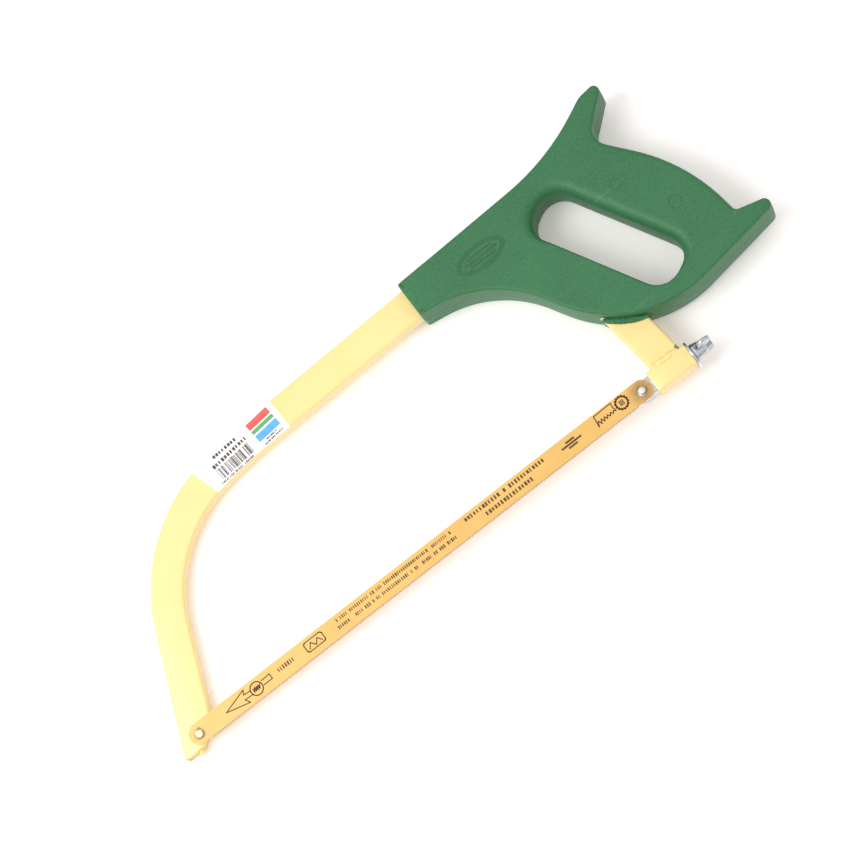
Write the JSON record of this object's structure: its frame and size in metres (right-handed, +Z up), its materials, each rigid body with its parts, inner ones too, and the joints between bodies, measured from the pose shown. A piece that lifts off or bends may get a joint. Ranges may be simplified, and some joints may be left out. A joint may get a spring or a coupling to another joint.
{
  "type": "hacksaw",
  "caption": "Full-size hacksaw with a bent tubular bow, a closed moulded grip and a blade held between pins and drawn tight by a wing nut.",
  "frame": {"origin": "under the middle of the whole saw, on the surface that the grip lies on", "axes": "+X along the blade from the toe to the grip, +Y from the blade to the bow, +Z up through the saw's thickness"},
  "size_m": [0.4318, 0.16, 0.028],
  "materials": {
    "yellow_enamel": "glossy stoved enamel on steel",
    "green_plastic": "satin moulded thermoplastic, finely textured",
    "blade_lacquer": "thin amber lacquer on hardened strip",
    "zinc_plate": "bright zinc plating",
    "screw_steel": "plain bright steel",
    "label_paper": "white printed vinyl"
  },
  "bodies": {
    "frame": {"frame_tube": "yellow_enamel", "toe_plug": "yellow_enamel", "front_blade_pin": "yellow_enamel", "toe_peg": "yellow_enamel", "tension_sleeve": "yellow_enamel", "weld_near": "yellow_enamel", "weld_far": "yellow_enamel", "tension_washer": "zinc_plate", "handle_near_shell": "green_plastic", "handle_far_shell": "green_plastic", "handle_screws": "screw_steel", "label": "label_paper"},
    "tensioner": {"draw_bolt": "zinc_plate", "rear_blade_pin": "zinc_plate"},
    "wing_nut": {"wing_nut": "zinc_plate"},
    "blade": {"blade": "blade_lacquer"}
  },
  "joints": [
    {"name": "wing_nut_turn", "type": "hinge", "parent": "frame", "child": "wing_nut", "pos_m": [0.13358, -0.07092, 0.014], "axis": [1, 0, 0], "range_deg": [0, 1801]},
    {"name": "draw_bolt_slide", "type": "slide", "parent": "frame", "child": "tensioner", "axis": [-1, 0, 0], "range_m": [0, 0.005]},
    {"name": "blade_lift", "type": "slide", "parent": "frame", "child": "blade", "axis": [0, 0, 1], "range_m": [0, 0.02001]}
  ],
  "couplings": [
    {"joint": "wing_nut_turn", "follows": "draw_bolt_slide", "rad_per_m": 6283.2},
    {"joint": "blade_lift", "follows": "draw_bolt_slide", "ratio": 4}
  ]
}
